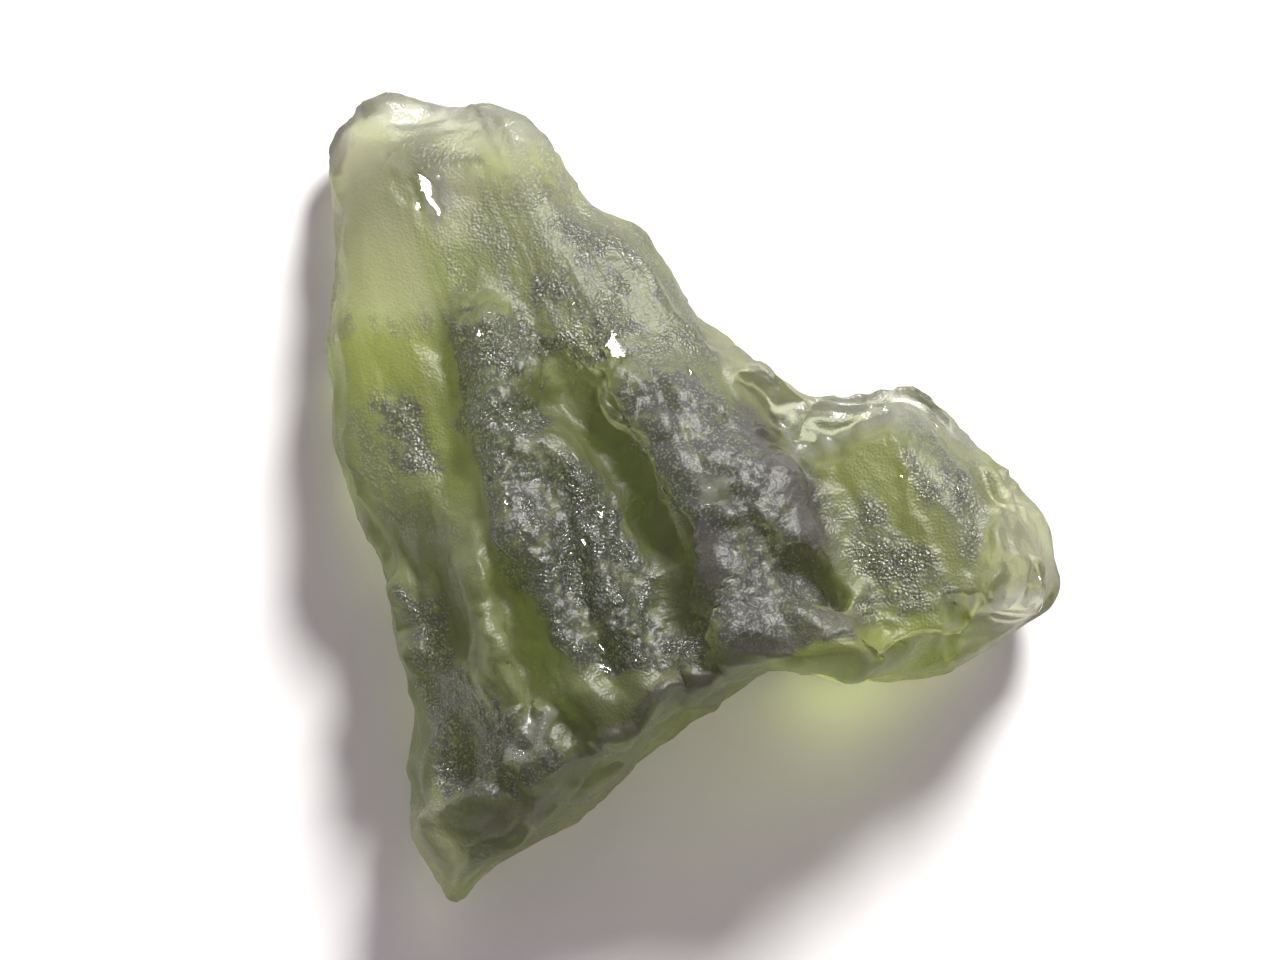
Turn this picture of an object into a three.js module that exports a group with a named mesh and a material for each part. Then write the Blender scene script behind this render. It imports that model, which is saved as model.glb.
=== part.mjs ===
// A raw moldavite: one splinter of natural green glass, lying on its widest face.
// Seen from above it is a triangle with one bitten side. A wedge in section: thin at the top
// left corner, thickest along the crest that runs above the lower side.
// Millimetres, +Z up. The origin is under the middle of the stone, on the surface it lies on.
import * as THREE from "three";
import { ImprovedNoise } from "three/addons/math/ImprovedNoise.js";
import { mergeVertices } from "three/addons/utils/BufferGeometryUtils.js";

// Driving dimensions: the stone's reach along each axis.
const WIDTH = 16.3;
const LENGTH = 18.0;
const HEIGHT = 7.0;

// How finely the blank is divided: 20 * (BLANK_DETAIL + 1)^2 triangles.
const BLANK_DETAIL = 21;

const GLASS = new THREE.MeshStandardMaterial({
  name: "moldavite_glass",
  color: 0x77823a,
  roughness: 0.32,
  metalness: 0,
  transparent: true,
  opacity: 0.85,
});

// ---------------------------------------------------------------- the outline seen from above

// Corners and bends of the outline, anticlockwise seen from above, starting at the top left peak.
// The tip at the bottom is drawn 0.2 mm long, because the carving rounds it off by that much.
const OUTLINE = [
  [-7.0, 8.99], [-7.92, 8.37], [-8.14, 7.55], [-7.98, 6.35], [-7.95, 4.6], [-8.12, 3.85],
  [-7.98, 3.05], [-7.94, 1.35], [-7.52, 0.05], [-7.0, -0.95], [-6.5, -2.7], [-6.18, -4.5],
  [-6.3, -5.75], [-6.2, -6.5], [-6.25, -7.5], [-5.82, -8.65], [-5.4, -9.2], [-4.1, -7.9],
  [-3.0, -7.1], [-2.25, -6.55], [-1.15, -5.5], [-0.05, -4.75], [0.95, -4.02], [1.7, -3.52],
  [2.45, -3.48], [3.15, -3.75], [4.15, -3.73], [5.15, -3.7], [5.95, -3.42], [7.05, -2.78],
  [7.95, -2.2], [8.16, -1.65], [7.85, -0.92], [7.92, -0.55], [7.7, -0.05], [7.05, 0.65],
  [6.55, 1.25], [5.85, 1.7], [5.4, 2.28], [4.55, 2.66], [3.5, 2.44], [2.65, 2.44],
  [1.85, 2.88], [1.27, 3.25], [0.65, 3.98], [0.1, 4.3], [-0.67, 5.45], [-1.42, 6.3],
  [-2.2, 6.62], [-2.88, 7.55], [-3.5, 8.3], [-4.43, 8.7], [-5.6, 8.87],
];
const OUTLINE_STEPS = 159;

// The middle that the sides are laid out around, and the rim at bearings round it, in degrees
// from +X. waist: height of the widest level. lean: how far the wall leans in, per millimetre
// above the waist. tuck: how far the underside is drawn in at the resting plane.
const MIDDLE = new THREE.Vector2(-1.6, -0.5);
const RIM = [
  { bearing: -156, waist: 1.4, lean: 0.1, tuck: 0.6 },
  { bearing: -127, waist: 1.3, lean: 0.12, tuck: 0.45 },
  { bearing: -114, waist: 1.3, lean: 0.14, tuck: 0.4 },
  { bearing: -103, waist: 1.1, lean: 0.2, tuck: 0.3 },
  { bearing: -85, waist: 0.7, lean: 0.1, tuck: 0.3 },
  { bearing: -70, waist: 0.7, lean: 0.1, tuck: 0.3 },
  { bearing: -50, waist: 0.8, lean: 0.05, tuck: 0.35 },
  { bearing: -38, waist: 0.9, lean: 0.04, tuck: 0.45 },
  { bearing: -29, waist: 1.1, lean: 0.06, tuck: 0.6 },
  { bearing: -24, waist: 1.2, lean: 0.17, tuck: 0.8 },
  { bearing: -17, waist: 1.5, lean: 0.28, tuck: 0.9 },
  { bearing: -12, waist: 1.6, lean: 0.25, tuck: 1.0 },
  { bearing: -3, waist: 1.8, lean: 0.36, tuck: 1.0 },
  { bearing: 12, waist: 1.8, lean: 0.34, tuck: 0.9 },
  { bearing: 27, waist: 1.6, lean: 0.18, tuck: 0.8 },
  { bearing: 38, waist: 1.5, lean: 0.06, tuck: 0.6 },
  { bearing: 60, waist: 1.6, lean: 0.12, tuck: 0.8 },
  { bearing: 85, waist: 1.6, lean: 0.16, tuck: 0.8 },
  { bearing: 98, waist: 1.5, lean: 0.24, tuck: 0.7 },
  { bearing: 124, waist: 1.3, lean: 0.3, tuck: 0.5 },
  { bearing: 135, waist: 1.2, lean: 0.18, tuck: 0.5 },
  { bearing: 163, waist: 1.3, lean: 0.1, tuck: 0.6 },
  { bearing: 204, waist: 1.4, lean: 0.1, tuck: 0.6 },
];

// ---------------------------------------------------------------- the upper face

// Broken faces that bound the top. Each passes through a point and falls away towards a
// bearing, at a slope in degrees.
const TOP_FACES = [
  { name: "main face", at: [0.0, -3.4, 7.1], falls: 80, slope: 22 },
  { name: "left flank", at: [-4.85, 0.4, 5.35], falls: 188, slope: 35 },
  { name: "corner slab", at: [-7.0, 6.1, 3.15], falls: 165, slope: 22 },
  { name: "top edge", at: [-5.6, 7.65, 3.2], falls: 92, slope: 48 },
  { name: "tip", at: [-4.3, -6.4, 4.9], falls: 250, slope: 35 },
  { name: "tip end", at: [-5.3, -8.3, 3.1], falls: 255, slope: 58 },
  { name: "lobe end", at: [6.8, -0.8, 4.9], falls: 8, slope: 46 },
];
const FACE_BLEND = 0.3;

// Raised or sunken ground inside a closed border. edge: half the width of its slope.
const BENCHES = [
  {
    name: "plate",
    border: [
      [-2.04, 3.2], [-0.05, 2.92], [1.16, 2.14], [2.15, 1.26], [2.77, -0.5], [3.2, -2.2],
      [2.6, -2.75], [0.3, -2.95], [0.12, -1.6], [-0.6, -0.07], [-1.16, 1.48], [-2.04, 2.14],
    ],
    rise: 0.35,
    edge: 0.25,
  },
  {
    name: "shelf by the bitten side",
    border: [[0.2, 4.1], [1.2, 3.25], [2.4, 2.5], [2.4, 1.5], [1.5, 1.3], [0.2, 2.8]],
    rise: -0.75,
    edge: 0.4,
  },
  {
    name: "hollow of the left flank",
    border: [[-7.0, -0.1], [-5.8, 0.0], [-5.3, -1.4], [-4.95, -3.1], [-5.6, -3.3], [-6.3, -2.1]],
    rise: -0.6,
    edge: 0.4,
  },
];

// Long furrows and ridges on the top, along hand-laid paths, strongest in mid-run.
const FURROWS = [
  {
    name: "deep channel",
    path: [[-3.8, 2.75], [-2.6, 2.2], [-1.65, 1.1], [-1.0, -0.3], [-0.6, -1.7], [-0.2, -3.0]],
    rise: -0.85,
    reach: 0.7,
  },
  {
    name: "band beside the channel",
    path: [[-5.2, 3.5], [-4.6, 1.7], [-3.9, -0.05], [-3.3, -1.8], [-2.4, -3.4]],
    rise: 0.35,
    reach: 0.75,
  },
  {
    name: "left channel",
    path: [[-6.5, 4.1], [-5.9, 2.8], [-5.4, 1.5], [-4.95, 0.3], [-4.5, -0.7]],
    rise: -0.4,
    reach: 0.55,
  },
  {
    name: "rib",
    path: [[-5.3, 0.6], [-4.85, -0.7], [-4.55, -2.1], [-4.35, -3.4], [-4.1, -4.3]],
    rise: 0.5,
    reach: 0.35,
  },
  { name: "rib furrow", path: [[-4.2, -1.2], [-3.8, -2.7], [-3.4, -4.1]], rise: -0.35, reach: 0.45 },
  { name: "hollow's tail", path: [[-5.6, -3.9], [-5.2, -5.2], [-4.9, -6.2]], rise: -0.4, reach: 0.4 },
  {
    name: "seam below the plate",
    path: [[2.4, 1.2], [2.85, -0.1], [3.3, -1.4], [3.6, -2.3]],
    rise: -0.3,
    reach: 0.3,
  },
  {
    name: "lobe lip",
    path: [[2.3, 1.5], [3.1, 1.9], [4.1, 2.2], [5.2, 2.1], [5.9, 1.4]],
    rise: 0.35,
    reach: 0.35,
  },
  {
    name: "lobe furrow",
    path: [[3.5, 1.5], [4.2, 0.4], [5.1, -0.7], [5.6, -1.8]],
    rise: -0.3,
    reach: 0.45,
  },
  { name: "lobe ridge", path: [[4.9, 1.3], [5.6, 0.4], [6.2, -0.7], [6.4, -1.7]], rise: 0.25, reach: 0.4 },
  { name: "end ridge", path: [[6.8, 0.6], [7.1, -0.6], [7.15, -2.0]], rise: 0.3, reach: 0.3 },
  { name: "slab border", path: [[-4.9, 7.4], [-5.1, 5.9], [-5.5, 4.4]], rise: -0.25, reach: 0.4 },
  { name: "upper ridge", path: [[-3.4, 6.6], [-2.4, 5.0], [-1.5, 3.6]], rise: 0.25, reach: 0.4 },
  { name: "upper furrow", path: [[-2.6, 6.2], [-1.6, 4.7], [-0.8, 3.5]], rise: -0.25, reach: 0.35 },
];

// Round bites and knobs on the top: middle, radius along and across a bearing, and rise.
const BITES = [
  { name: "dark hole", at: [2.6, -1.65], radii: [1.1, 0.65], bearing: -48, rise: -0.9 },
  { name: "chip in the plate", at: [0.45, 0.05], radii: [0.6, 0.45], bearing: 60, rise: -0.35 },
  { name: "scoop above the lower side", at: [-2.1, -4.7], radii: [1.3, 0.75], bearing: -25, rise: -0.5 },
  { name: "corner nick", at: [-6.45, 7.15], radii: [0.6, 0.45], bearing: -70, rise: -0.3 },
  { name: "tip knob", at: [-5.6, -7.6], radii: [1.0, 0.6], bearing: 100, rise: 0.4 },
  { name: "notch in the end", at: [7.6, -0.6], radii: [0.6, 0.45], bearing: 10, rise: -0.5 },
];

// ---------------------------------------------------------------- the underside

const BELLY_LEVEL = 0.34; // height of the underside between the feet
const BELLY_RISE = 0.002; // how fast it rises away from the middle, per millimetre squared
const FEET = [
  { name: "corner foot", at: [-5.9, 5.6], reach: 1.9, drop: 1.1 },
  { name: "tip foot", at: [-4.7, -5.9], reach: 1.7, drop: 1.3 },
  { name: "lobe foot", at: [5.3, -1.6], reach: 1.9, drop: 1.1 },
  { name: "middle foot", at: [-1.2, -1.6], reach: 2.2, drop: 0.6 },
];

// ---------------------------------------------------------------- etched relief, all round

// The glass is grooved along its flow, which fans out from a point beyond the top left corner.
const FLOW = { from: [-12, 24], reach: 27, along: 3.4, across: 0.72, upward: 1.6, depth: 0.17 };
const LUMPS = [
  { size: 2.6, depth: 0.2 },
  { size: 1.15, depth: 0.13 },
];
// Round etch pits: one may lie in each cell of a loose lattice. They are shallower on the top.
const PITS = { cell: 1.5, smallest: 0.4, widest: 0.9, depth: 0.48, share: 0.65, onTop: 0.35 };
const EDGE_ROUNDING = 0.25;
const CREST_ROUNDING = 0.35;
// The outline already has the rim's own bends, so at the waist the relief is held to this share.
const RELIEF_AT_WAIST = 0.15;
const WAIST_BAND = 1.0;

const noise = new ImprovedNoise();
const clamp01 = (t) => Math.min(Math.max(t, 0), 1);
const ease = (t) => clamp01(t) ** 2 * (3 - 2 * clamp01(t));

// The lesser of two values, with the corner between them rounded off over blend.
function roundedMin(a, b, blend) {
  const overlap = Math.max(blend - Math.abs(a - b), 0) / blend;
  return Math.min(a, b) - (overlap ** 2 * blend) / 4;
}

const closedCurve = (points) =>
  new THREE.CatmullRomCurve3(points.map(([x, y]) => new THREE.Vector3(x, y, 0)), true, "centripetal");
const outline = closedCurve(OUTLINE).getPoints(OUTLINE_STEPS);

// Distance from a point to a run of points. closed joins the last to the first.
function distanceTo(x, y, points, closed) {
  let nearest = Infinity;
  let share = 0;
  const runs = closed ? points.length : points.length - 1;
  for (let i = 0; i < runs; i++) {
    const a = points[i];
    const b = points[(i + 1) % points.length];
    const dx = b.x - a.x;
    const dy = b.y - a.y;
    const t = clamp01(((x - a.x) * dx + (y - a.y) * dy) / (dx * dx + dy * dy));
    const d = Math.hypot(x - a.x - t * dx, y - a.y - t * dy);
    if (d < nearest) {
      nearest = d;
      share = (i + t) / runs;
    }
  }
  return { nearest, share };
}

function isInside(x, y, points) {
  let inside = false;
  for (let i = 0, j = points.length - 1; i < points.length; j = i++) {
    const a = points[i];
    const b = points[j];
    if (a.y > y !== b.y > y && x < ((b.x - a.x) * (y - a.y)) / (b.y - a.y) + a.x) inside = !inside;
  }
  return inside;
}

// How far inside a closed border a point lies; negative outside it.
const depthInside = (x, y, points) =>
  distanceTo(x, y, points, true).nearest * (isInside(x, y, points) ? 1 : -1);

const asVectors = (points) => points.map(([x, y]) => new THREE.Vector2(x, y));
const benches = BENCHES.map((bench) => ({ ...bench, border: asVectors(bench.border) }));
const furrows = FURROWS.map((furrow) => ({ ...furrow, path: asVectors(furrow.path) }));

// Height of one broken face at a point, from its slope.
function faceHeight({ at, falls, slope }, x, y) {
  const way = THREE.MathUtils.degToRad(falls);
  const run = (x - at[0]) * Math.cos(way) + (y - at[1]) * Math.sin(way);
  return at[2] - run * Math.tan(THREE.MathUtils.degToRad(slope));
}

// A smooth hump, 1 at the middle and 0 at the given radii along and across the bearing.
function hump({ at, radii, bearing }, x, y) {
  const way = THREE.MathUtils.degToRad(bearing);
  const along = (x - at[0]) * Math.cos(way) + (y - at[1]) * Math.sin(way);
  const across = (y - at[1]) * Math.cos(way) - (x - at[0]) * Math.sin(way);
  return ease(1 - Math.hypot(along / radii[0], across / radii[1]));
}

function topHeight(x, y) {
  let z = faceHeight(TOP_FACES[0], x, y);
  for (const face of TOP_FACES.slice(1)) z = roundedMin(z, faceHeight(face, x, y), FACE_BLEND);
  for (const { border, rise, edge } of benches) {
    z += rise * ease(0.5 + depthInside(x, y, border) / (2 * edge));
  }
  for (const { path, rise, reach } of furrows) {
    const { nearest, share } = distanceTo(x, y, path, false);
    const inMidRun = ease(Math.min(share, 1 - share) * 5 + 0.25);
    z += rise * inMidRun * ease(1 - nearest / (2 * reach));
  }
  for (const bite of BITES) z += bite.rise * hump(bite, x, y);
  return z;
}

function bottomHeight(x, y) {
  let z = BELLY_LEVEL + BELLY_RISE * ((x - MIDDLE.x) ** 2 + (y - MIDDLE.y) ** 2);
  for (const { at, reach, drop } of FEET) {
    z -= drop * ease(1 - Math.hypot(x - at[0], y - at[1]) / reach);
  }
  return z;
}

// The rim's waist, lean and tuck at a bearing, read between the entries of RIM.
function rimAt(bearing) {
  const next = RIM.findIndex((entry) => entry.bearing >= bearing);
  const b = RIM[Math.max(next, 1)];
  const a = RIM[Math.max(next, 1) - 1];
  const t = ease((bearing - a.bearing) / (b.bearing - a.bearing));
  const between = (key) => a[key] + (b[key] - a[key]) * t;
  return { waist: between("waist"), lean: between("lean"), tuck: between("tuck") };
}

// The rim's entry that holds for a point of the plan.
function rimBeside(x, y) {
  const bearing = THREE.MathUtils.radToDeg(Math.atan2(y - MIDDLE.y, x - MIDDLE.x));
  return rimAt(bearing < RIM[0].bearing ? bearing + 360 : bearing);
}

// How far the wall stands in from the outline at a height.
const wallInset = ({ waist, lean, tuck }, z) =>
  z > waist ? lean * (z - waist) : tuck * ((waist - z) / waist) ** 1.6;

// A steady number from 0 to 1 for a lattice cell; salt gives several for one cell.
function cellChance(i, j, k, salt) {
  const s = Math.sin(i * 127.1 + j * 311.7 + k * 74.7 + salt * 53.3) * 43758.5453;
  return s - Math.floor(s);
}

// How deep the etch pits are at a point.
function pitDepth(p) {
  const { cell, smallest, widest, depth, share } = PITS;
  const home = [p.x, p.y, p.z].map((v) => Math.floor(v / cell));
  let deepest = 0;
  for (let n = 0; n < 27; n++) {
    const i = home[0] + (n % 3) - 1;
    const j = home[1] + (Math.floor(n / 3) % 3) - 1;
    const k = home[2] + Math.floor(n / 9) - 1;
    if (cellChance(i, j, k, 0) > share) continue;
    const dx = (i + cellChance(i, j, k, 1)) * cell - p.x;
    const dy = (j + cellChance(i, j, k, 2)) * cell - p.y;
    const dz = (k + cellChance(i, j, k, 3)) * cell - p.z;
    const radius = smallest + (widest - smallest) * cellChance(i, j, k, 4);
    deepest = Math.max(deepest, (depth * radius * ease(1 - Math.hypot(dx, dy, dz) / radius)) / widest);
  }
  return deepest;
}

// Lumps and flow grooves: how much glass stands above (or is gone below) the plain broken form.
function relief(p) {
  const dx = p.x - FLOW.from[0];
  const dy = p.y - FLOW.from[1];
  const along = Math.hypot(dx, dy) / FLOW.along;
  const across = (Math.atan2(dy, dx) * FLOW.reach) / FLOW.across;
  let grown = noise.noise(along, across, p.z / FLOW.upward) * FLOW.depth * 2;
  LUMPS.forEach(({ size, depth }, n) => {
    grown += noise.noise(p.x / size + 9 * n, p.y / size + 4, p.z / size + 7) * depth * 2;
  });
  return grown;
}

// Above 0 inside the stone, below 0 outside it.
function insideStone(p) {
  const rim = rimBeside(p.x, p.y);
  const fromOutline = depthInside(p.x, p.y, outline);
  const fromTop = topHeight(p.x, p.y) - p.z;
  const fromBottom = p.z - bottomHeight(p.x, p.y);
  const fromWall = fromOutline - wallInset(rim, p.z);
  const plain = roundedMin(roundedMin(fromTop, fromBottom, EDGE_ROUNDING), fromWall, CREST_ROUNDING);
  const atWaist = ease(1 - Math.abs(p.z - rim.waist) / WAIST_BAND) * ease(1 - fromOutline / WAIST_BAND);
  const pitShare = PITS.onTop + (1 - PITS.onTop) * ease(fromTop);
  const etching = relief(p) - pitDepth(p) * pitShare;
  const etched = plain + etching * (1 - (1 - RELIEF_AT_WAIST) * atWaist);
  // Nothing stands out past the outline, and what would reach below the resting plane is worn flat.
  return Math.min(etched, fromOutline, p.z);
}

// ---------------------------------------------------------------- the blank, and its carving

// Where each point of the blank starts: on a flat core sheet, shaped like the outline drawn in.
const CORE_LEVEL = 1.6;
const CORE_INSET = 2.3; // from the outline to the core sheet's edge
const CORE_SHARE = 0.54; // share of the way from pole to equator that lies over the sheet
const LONGEST_RAY = 9;
const RAY_STEP = 0.25;

// Rounds of evening out: each point slides along the skin towards the mean of its neighbours,
// pulled more by the far ones.
const ROUNDS = 20;
const EVENING = 0.7;
const LAST_SETTLE_STEPS = 6;
const PROBE = 0.02;
const LONGEST_MOVE = 0.25;
const FLAT_WITHIN = 0.01;

// Distance from MIDDLE to the outline at a bearing in radians.
function outlineReach(angle) {
  let low = 0;
  let high = 14;
  while (high - low > 1e-3) {
    const r = (low + high) / 2;
    const inside = isInside(MIDDLE.x + r * Math.cos(angle), MIDDLE.y + r * Math.sin(angle), outline);
    if (inside) low = r;
    else high = r;
  }
  return low;
}

// Where a point of the unit sphere is first carved to: over the core sheet it goes straight up
// or down, and past the sheet's edge it fans out to the sides, as far as the stone's skin.
function carve(unit) {
  const angle = Math.atan2(unit.y, unit.x);
  const spread = Math.sqrt(Math.max(1 - Math.abs(unit.z), 0));
  const out = new THREE.Vector3(Math.cos(angle), Math.sin(angle), 0);
  const reach = outlineReach(angle) - CORE_INSET;
  const point = out.clone().multiplyScalar(reach * Math.min(spread / CORE_SHARE, 1));
  point.add(new THREE.Vector3(MIDDLE.x, MIDDLE.y, CORE_LEVEL));
  const fan = (clamp01((spread - CORE_SHARE) / (1 - CORE_SHARE)) * Math.PI) / 2;
  const way = out.multiplyScalar(Math.sin(fan));
  way.z = Math.cos(fan) * Math.sign(unit.z);
  for (let t = 0; t < LONGEST_RAY && insideStone(point) > 0; t += RAY_STEP) {
    point.addScaledVector(way, RAY_STEP);
  }
  return point;
}

// The steepest way into the stone from a point, from how insideStone changes along each axis.
function slopeAt(point, here) {
  const slope = new THREE.Vector3();
  for (const axis of ["x", "y", "z"]) {
    point[axis] += PROBE;
    slope[axis] = (insideStone(point) - here) / PROBE;
    point[axis] -= PROBE;
  }
  return slope;
}

// Moves a point along the slope until it lies on the skin.
function settle(point, steps) {
  for (let n = 0; n < steps; n++) {
    const here = insideStone(point);
    const move = slopeAt(point, here);
    move.multiplyScalar(-here / Math.max(move.lengthSq(), 0.25));
    point.add(move.clampLength(0, LONGEST_MOVE));
  }
}

// Slides a point along the skin towards the mean of its neighbours.
function evenOut(point, beside) {
  const mean = new THREE.Vector3();
  let weight = 0;
  for (const neighbour of beside) {
    const pull = point.distanceTo(neighbour);
    mean.addScaledVector(neighbour, pull);
    weight += pull;
  }
  const move = mean.divideScalar(weight).sub(point).multiplyScalar(EVENING);
  const inwards = slopeAt(point, insideStone(point)).normalize();
  point.add(move.addScaledVector(inwards, -move.dot(inwards)));
  settle(point, 1);
}

// The neighbours of each point of a closed mesh.
function neighboursOf(geometry) {
  const neighbours = Array.from({ length: geometry.getAttribute("position").count }, () => []);
  const corners = geometry.getIndex().array;
  for (let i = 0; i < corners.length; i++) {
    neighbours[corners[i]].push(corners[i % 3 === 2 ? i - 2 : i + 1]);
  }
  return neighbours;
}

// Carves the blank, then brings it to the driving dimensions, standing on z = 0 over the origin.
function moldaviteGeometry() {
  const blank = new THREE.IcosahedronGeometry(1, BLANK_DETAIL);
  blank.deleteAttribute("normal");
  blank.deleteAttribute("uv");
  const stone = mergeVertices(blank, 1e-5);
  const position = stone.getAttribute("position");
  const neighbours = neighboursOf(stone);
  const points = neighbours.map((_, i) => carve(new THREE.Vector3().fromBufferAttribute(position, i)));
  for (let round = 0; round < ROUNDS; round++) {
    points.forEach((point, i) => evenOut(point, neighbours[i].map((j) => points[j])));
  }
  points.forEach((point, i) => {
    settle(point, LAST_SETTLE_STEPS);
    position.setXYZ(i, point.x, point.y, point.z < FLAT_WITHIN ? 0 : point.z);
  });
  stone.computeBoundingBox();
  const { min, max } = stone.boundingBox;
  stone.translate(-(min.x + max.x) / 2, -(min.y + max.y) / 2, -min.z);
  stone.scale(WIDTH / (max.x - min.x), LENGTH / (max.y - min.y), HEIGHT / (max.z - min.z));
  stone.computeVertexNormals();
  return stone;
}

const moldavite = new THREE.Mesh(moldaviteGeometry(), GLASS);
moldavite.name = "moldavite";

const part = new THREE.Group();
part.add(moldavite);

export default part;
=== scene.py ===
"""A raw moldavite, dressed: the solid's form with the ledges, pits, frost and gloss of glass."""
import math

import bmesh
import bpy
import numpy as np
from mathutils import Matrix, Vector, noise


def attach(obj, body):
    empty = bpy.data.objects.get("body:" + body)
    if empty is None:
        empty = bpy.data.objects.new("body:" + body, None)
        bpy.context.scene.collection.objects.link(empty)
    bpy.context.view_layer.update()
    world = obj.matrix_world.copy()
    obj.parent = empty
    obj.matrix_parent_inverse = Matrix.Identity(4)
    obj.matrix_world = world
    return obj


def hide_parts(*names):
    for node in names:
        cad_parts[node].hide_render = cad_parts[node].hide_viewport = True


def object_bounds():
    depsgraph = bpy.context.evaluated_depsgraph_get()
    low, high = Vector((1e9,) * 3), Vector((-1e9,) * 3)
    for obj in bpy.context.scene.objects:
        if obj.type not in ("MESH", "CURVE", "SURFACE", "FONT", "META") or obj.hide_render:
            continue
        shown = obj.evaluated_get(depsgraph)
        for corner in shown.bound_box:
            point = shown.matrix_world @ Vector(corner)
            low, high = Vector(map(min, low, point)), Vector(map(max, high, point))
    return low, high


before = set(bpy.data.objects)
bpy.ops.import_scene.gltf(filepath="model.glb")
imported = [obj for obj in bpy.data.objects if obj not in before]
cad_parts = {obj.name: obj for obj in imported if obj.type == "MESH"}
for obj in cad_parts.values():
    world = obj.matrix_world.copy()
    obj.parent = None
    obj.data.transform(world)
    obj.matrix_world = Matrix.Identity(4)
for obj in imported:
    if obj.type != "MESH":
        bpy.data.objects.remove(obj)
cad_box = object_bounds()

MM = 0.001

# ---------------------------------------------------------------- camera, light and floor

FRAME_WIDE = 28.27 * MM
FRAME_MIDDLE = (-1.17 * MM, 0.39 * MM)
STONE_MIDDLE_UP = 3.2 * MM
CAMERA_UP = 300 * MM
CAMERA_SEES = (0.01, 5)
SENSOR_WIDE = 36

LAMP_TOWARD = math.atan2(0.92, 0.38)
LAMP_ELEVATION = math.radians(38.5)
LAMP_AWAY = 300 * MM
LAMP_WIDE = 80 * MM
LAMP_WATTS = 1.6
LAMP_COLOUR = (1.0, 0.985, 0.95)
ROOM_COLOUR = (1.0, 0.86, 0.96, 1)
ROOM_STRENGTH = 0.35

PAPER_COLOUR = (0.88, 0.88, 0.88, 1)
PAPER_ROUGHNESS = 0.9
PAPER_SHINE = 0.2
PAPER_REACH = 1.5
PAPER_DOWN = 0.03 * MM


def put(name, data):
    """A new object in the scene, at the origin."""
    made = bpy.data.objects.new(name, data)
    bpy.context.collection.objects.link(made)
    return made


def set_camera():
    data = bpy.data.cameras.new("camera")
    data.sensor_width = SENSOR_WIDE
    data.lens = data.sensor_width * CAMERA_UP / FRAME_WIDE
    data.clip_start, data.clip_end = CAMERA_SEES
    camera = put("camera", data)
    camera.location = (*FRAME_MIDDLE, STONE_MIDDLE_UP + CAMERA_UP)
    bpy.context.scene.camera = camera


def set_light():
    data = bpy.data.lights.new("window", "AREA")
    data.shape = "DISK"
    data.size = LAMP_WIDE
    data.energy = LAMP_WATTS
    data.color = LAMP_COLOUR
    lamp = put("window", data)
    level = math.cos(LAMP_ELEVATION)
    toward = Vector((
        math.cos(LAMP_TOWARD) * level,
        math.sin(LAMP_TOWARD) * level,
        math.sin(LAMP_ELEVATION),
    ))
    lamp.location = toward * LAMP_AWAY
    lamp.rotation_euler = toward.to_track_quat("Z", "Y").to_euler()
    world = bpy.data.worlds.new("room")
    world.use_nodes = True
    room = world.node_tree.nodes["Background"]
    room.inputs["Color"].default_value = ROOM_COLOUR
    room.inputs["Strength"].default_value = ROOM_STRENGTH
    bpy.context.scene.world = world
    bpy.context.scene.view_settings.view_transform = "Standard"


def set_floor():
    bm = bmesh.new()
    bmesh.ops.create_grid(bm, x_segments=1, y_segments=1, size=PAPER_REACH)
    bmesh.ops.translate(bm, verts=bm.verts, vec=(0, 0, -PAPER_DOWN))
    mesh = bpy.data.meshes.new("floor")
    bm.to_mesh(mesh)
    bm.free()
    paper = bpy.data.materials.new("white paper")
    paper.use_nodes = True
    shader = paper.node_tree.nodes["Principled BSDF"]
    shader.inputs["Base Color"].default_value = PAPER_COLOUR
    shader.inputs["Roughness"].default_value = PAPER_ROUGHNESS
    shader.inputs["Specular IOR Level"].default_value = PAPER_SHINE
    mesh.materials.append(paper)
    put("floor", mesh)


# ---------------------------------------------------------------- forms, from above, in millimetres

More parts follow.
